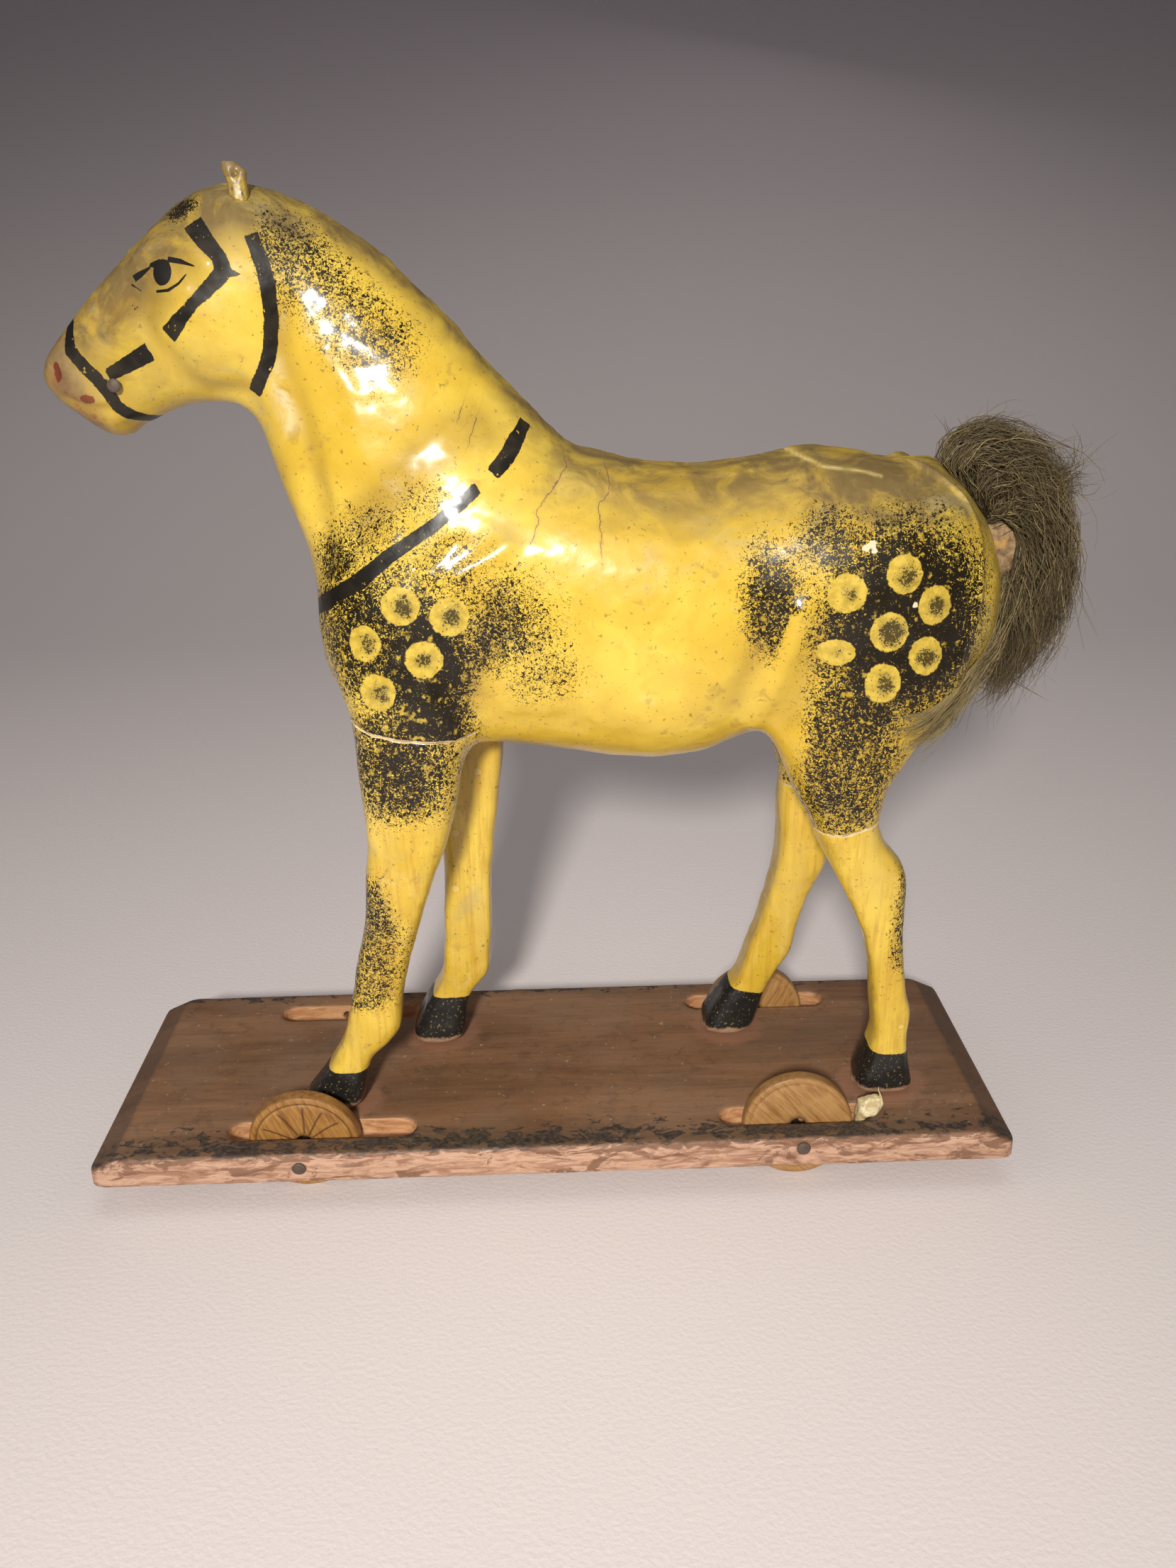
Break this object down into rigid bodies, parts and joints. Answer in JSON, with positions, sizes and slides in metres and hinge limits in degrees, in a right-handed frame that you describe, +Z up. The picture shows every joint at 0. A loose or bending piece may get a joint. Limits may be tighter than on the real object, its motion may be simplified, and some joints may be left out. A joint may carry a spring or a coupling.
{
  "type": "pull along toy horse",
  "caption": "Dappled horse with a hair tail standing on a slotted wooden platform with small disc wheels turning on nails; one wheel is missing.",
  "frame": {"origin": "the floor under the middle of the whole toy's bounding box", "axes": "+Z up, -X the way the horse faces, -Y the horse's left side; the platform's length runs along X"},
  "size_m": [0.2255, 0.0721, 0.2234],
  "materials": {
    "body_paint": "glossy yellow paint and varnish on papier-mache, black speckle and dapple rings",
    "leg_paint": "glossy yellow paint on carved wood, black hooves",
    "board_paint": "worn satin red-brown paint with black residue, bare edges",
    "wheel_wood": "golden varnish",
    "nail_iron": "dull, lightly rusted",
    "plug_composition": "matte glue and paper",
    "tail_hair": "faded natural hair, fine and dry",
    "wax": "old pale wax, slightly waxy sheen"
  },
  "bodies": {
    "toy": {"platform_board": "board_paint", "axle_nail_front_left": "nail_iron", "axle_nail_rear_left": "nail_iron", "axle_nail_rear_right": "nail_iron", "leg_front_left": "leg_paint", "leg_front_right": "leg_paint", "leg_hind_left": "leg_paint", "leg_hind_right": "leg_paint", "hoof_nail_front_left": "nail_iron", "hoof_nail_front_right": "nail_iron", "hoof_nail_hind_left": "nail_iron", "hoof_nail_hind_right": "nail_iron", "body_shell_left": "body_paint", "body_shell_right": "body_paint", "ear_left": "body_paint", "ear_right_stump": "body_paint", "bit_tack_left": "nail_iron", "bit_tack_right": "nail_iron", "tail_plug": "plug_composition", "tail_hair": "tail_hair", "wax_lump_rear_left": "wax"},
    "front_left_wheel": {"wheel_front_left": "wheel_wood"},
    "rear_left_wheel": {"wheel_rear_left": "wheel_wood"},
    "rear_right_wheel": {"wheel_rear_right": "wheel_wood"}
  },
  "joints": [
    {"name": "front_left_wheel_spin", "type": "hinge", "parent": "toy", "child": "front_left_wheel", "pos_m": [-0.06445, -0.02585, 0.01309], "axis": [0, 0.9976, 0.0698], "continuous": true},
    {"name": "rear_left_wheel_spin", "type": "hinge", "parent": "toy", "child": "rear_left_wheel", "pos_m": [0.05235, -0.02585, 0.01308], "axis": [0, 0.9986, -0.0523], "continuous": true},
    {"name": "rear_right_wheel_spin", "type": "hinge", "parent": "toy", "child": "rear_right_wheel", "pos_m": [0.04945, 0.0256, 0.01303], "axis": [0, -0.9998, 0.0175], "continuous": true}
  ]
}
